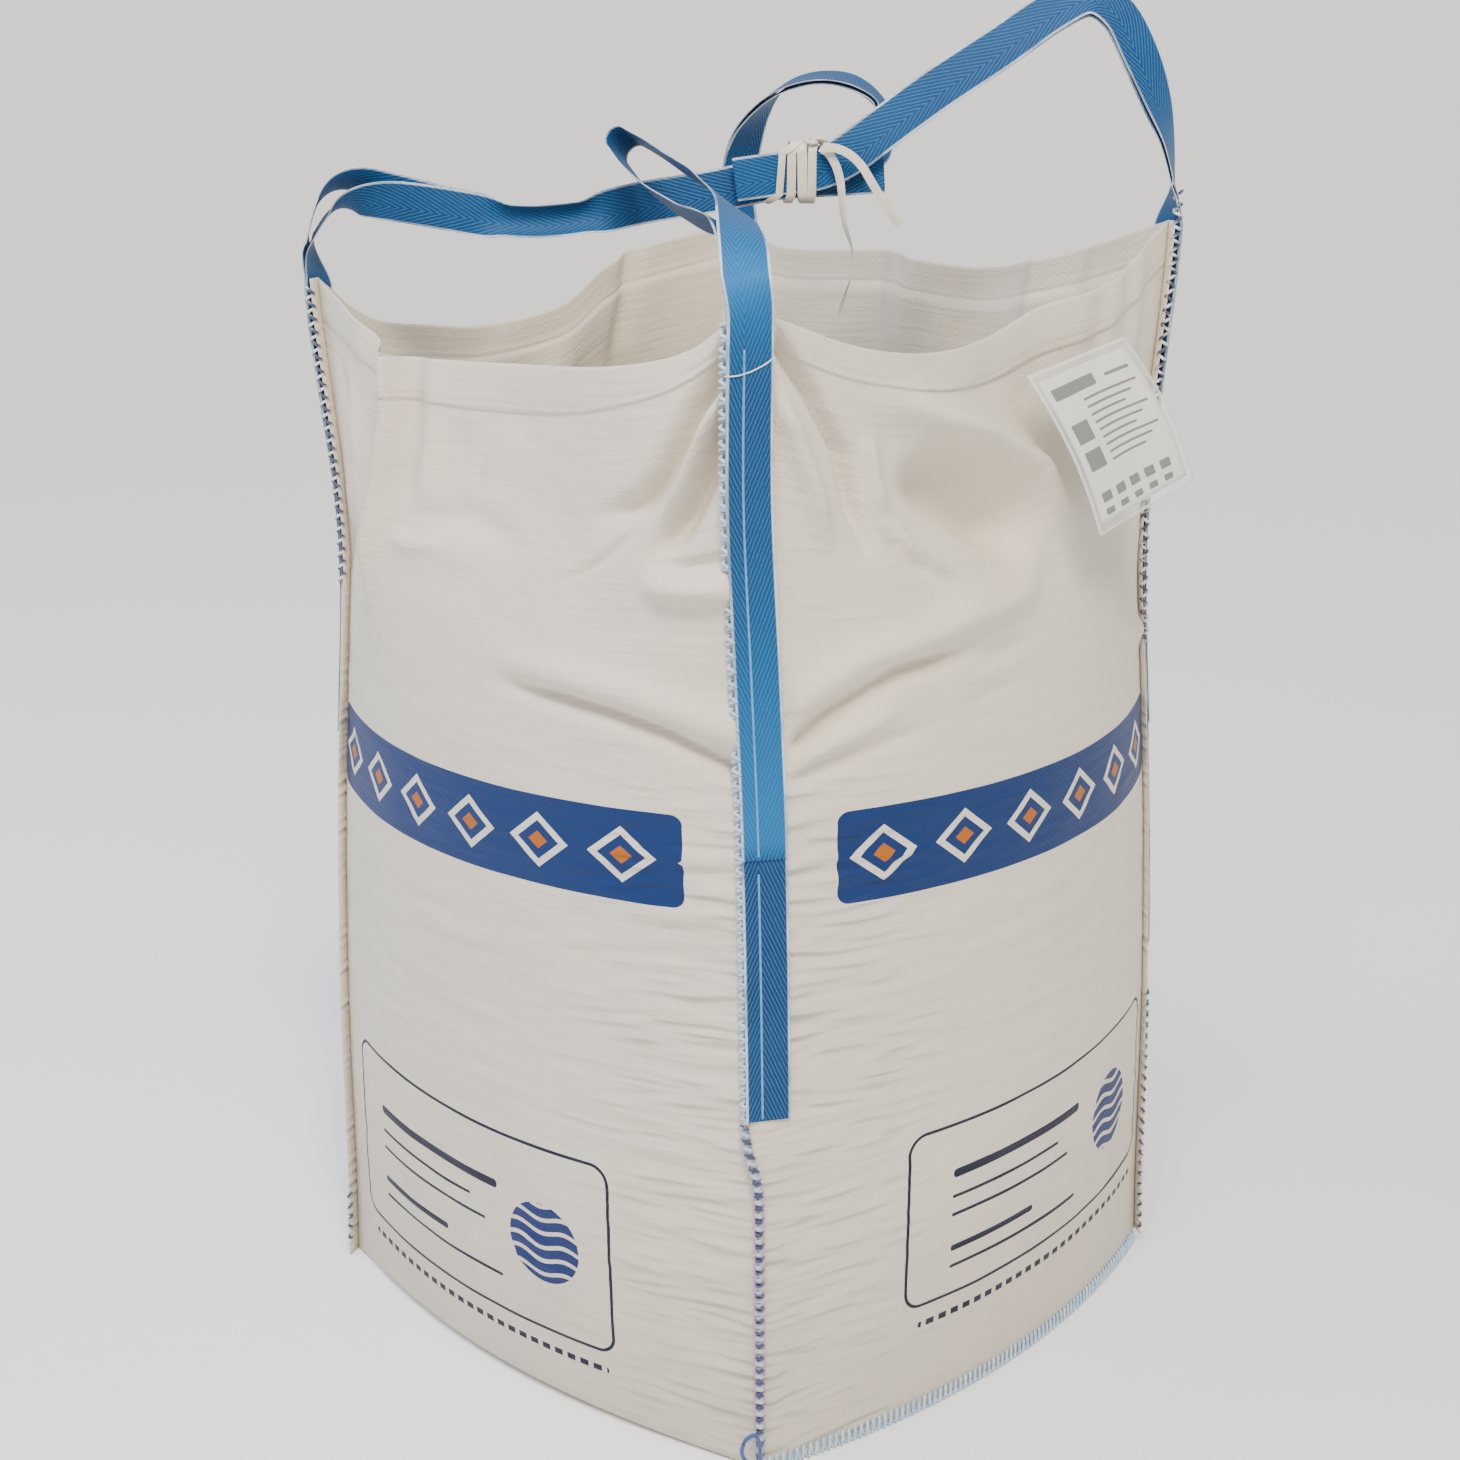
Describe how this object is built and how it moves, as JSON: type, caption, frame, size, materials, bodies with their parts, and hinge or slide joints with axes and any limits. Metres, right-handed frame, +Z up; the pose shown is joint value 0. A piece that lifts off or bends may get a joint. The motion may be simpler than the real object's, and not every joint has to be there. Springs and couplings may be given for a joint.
{
  "type": "bulk bag of granite dust",
  "caption": "Tall woven bulk bag filled with granite dust, its lifting loops gathered and tied over the open mouth, with a document sleeve at its rim.",
  "frame": {"origin": "middle of the base, on the floor", "axes": "+Z up through the mouth; +X and -X out of the two side panels, -Y out of the front and +Y out of the rear"},
  "size_m": [0.9755, 0.9274, 1.6339],
  "materials": {
    "woven_fabric": "woven polypropylene, matt with a faint sheen",
    "granite_dust": "dry grey stone dust",
    "blue_webbing": "herringbone webbing",
    "tie_tape": "flat off-white tape",
    "clear_sleeve": "clear film sleeve with a plain card"
  },
  "bodies": {
    "root": {"u_panel": "woven_fabric", "side_panel_right": "woven_fabric", "side_panel_left": "woven_fabric", "granite_dust": "granite_dust", "lift_loop_near": "blue_webbing", "lift_loop_left": "blue_webbing", "lift_loop_right": "blue_webbing", "lift_loop_back": "blue_webbing", "tie_wraps": "tie_tape", "tie_tail_long": "tie_tape", "tie_tail_short": "tie_tape", "label_sleeve": "clear_sleeve"}
  },
  "joints": []
}
